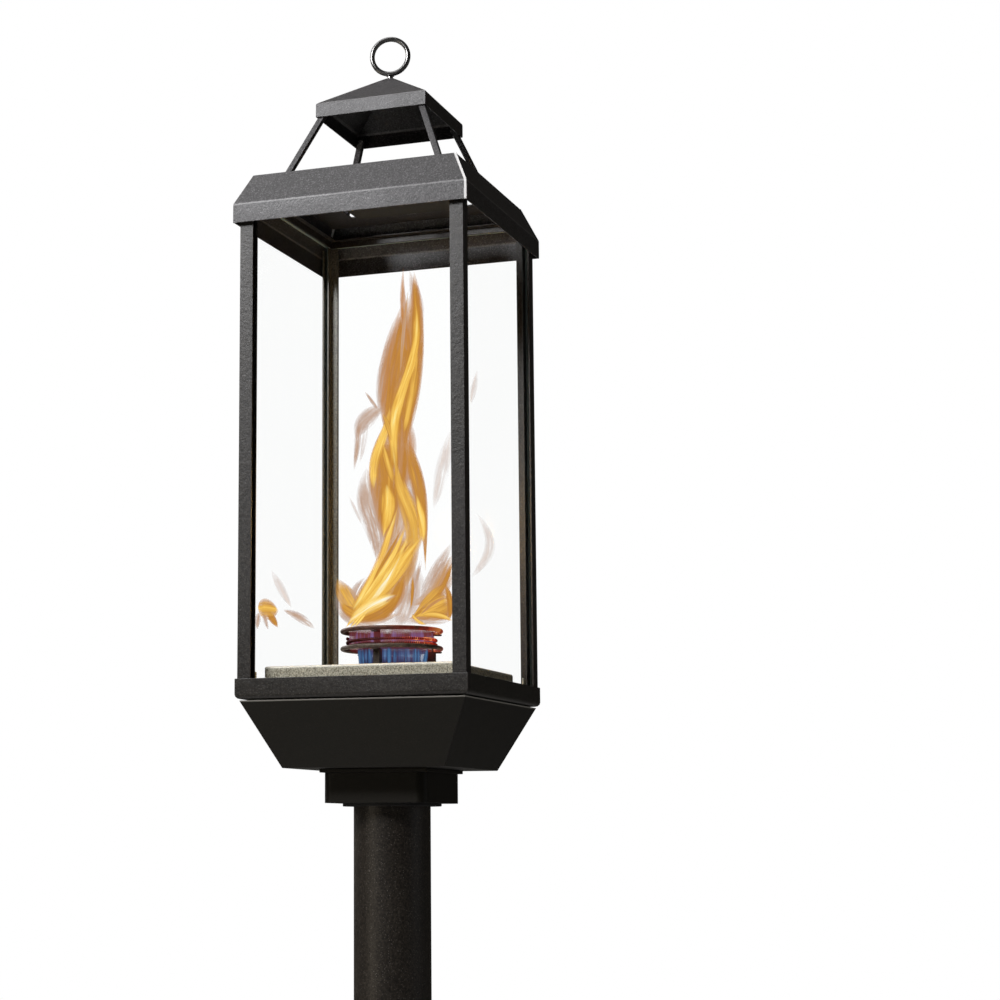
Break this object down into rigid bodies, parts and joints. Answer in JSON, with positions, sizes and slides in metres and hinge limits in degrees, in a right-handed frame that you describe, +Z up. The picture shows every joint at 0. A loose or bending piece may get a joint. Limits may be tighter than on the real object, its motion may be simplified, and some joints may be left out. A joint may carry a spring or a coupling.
{
  "type": "gas garden torch",
  "caption": "Square glass gas torch lantern with a lift-off hood, ring burner and gas knob, on a round pole set in the ground.",
  "frame": {"origin": "centre of the pole's foot, at the end face that stands in the ground or footing", "axes": "+Z up along the pole, -Y the front of the lantern, +X to the right seen from the front"},
  "size_m": [0.2452, 0.2452, 2.0567],
  "materials": {
    "black_coat": "satin textured powder coat",
    "pole_coat": "fine textured powder coat",
    "pan_steel": "speckled high-temperature coat",
    "glass": "clear",
    "heated_steel": "heat-blued, glowing red where the flame plays",
    "zinc": "bright zinc plate",
    "brass": "machined",
    "pipe_steel": "black pipe",
    "rubber": "matte",
    "knob": "matte"
  },
  "bodies": {
    "lantern": {"base_tray": "black_coat", "burner_coil": "heated_steel", "burner_diffuser": "heated_steel", "burner_head": "heated_steel", "burner_leg_front": "heated_steel", "burner_leg_left": "heated_steel", "burner_leg_right": "heated_steel", "burner_pan": "pan_steel", "burner_ring_lower": "heated_steel", "burner_ring_upper": "heated_steel", "collar": "black_coat", "collar_flange": "black_coat", "collar_set_screw_left": "zinc", "collar_set_screw_right": "zinc", "gas_riser_pipe": "pipe_steel", "gas_valve_body": "brass", "glass_clip_back": "zinc", "glass_clip_front": "zinc", "glass_clip_left": "zinc", "glass_clip_right": "zinc", "glass_pane_back": "glass", "glass_pane_front": "glass", "glass_pane_left": "glass", "glass_pane_right": "glass", "glass_retainer_back_left": "black_coat", "glass_retainer_back_right": "black_coat", "glass_retainer_front_left": "black_coat", "glass_retainer_front_right": "black_coat", "hopper_shell": "black_coat", "mixing_tube": "zinc", "orifice_fitting": "brass", "pipe_union": "brass", "pole": "pole_coat", "pole_bushing": "rubber", "post_back_left": "black_coat", "post_back_right": "black_coat", "post_front_left": "black_coat", "post_front_right": "black_coat", "top_frame": "black_coat"},
    "hood": {"baffle_bracket_back": "zinc", "baffle_bracket_front": "zinc", "baffle_bracket_left": "zinc", "baffle_bracket_right": "zinc", "baffle_plate": "black_coat", "cap": "black_coat", "cap_strut_back_left": "black_coat", "cap_strut_back_right": "black_coat", "cap_strut_front_left": "black_coat", "cap_strut_front_right": "black_coat", "ring_nut": "zinc", "roof_deck": "black_coat", "roof_panel_back": "black_coat", "roof_panel_front": "black_coat", "roof_panel_left": "black_coat", "roof_panel_right": "black_coat", "top_ring": "black_coat"},
    "gas_control": {"gas_knob": "knob", "valve_stem": "brass"},
    "air_shutter_sleeve": {"air_shutter": "brass"}
  },
  "joints": [
    {"name": "hood_lift", "type": "slide", "parent": "lantern", "child": "hood", "axis": [0, 0, 1], "range_m": [0, 0.15]},
    {"name": "gas_knob_turn", "type": "hinge", "parent": "lantern", "child": "gas_control", "pos_m": [0, 0.11, 1.331], "axis": [0, 1, 0], "range_deg": [0, 90]},
    {"name": "air_shutter_turn", "type": "hinge", "parent": "lantern", "child": "air_shutter_sleeve", "pos_m": [0, 0, 1.3675], "axis": [0, 0, 1], "range_deg": [0, 60]}
  ]
}
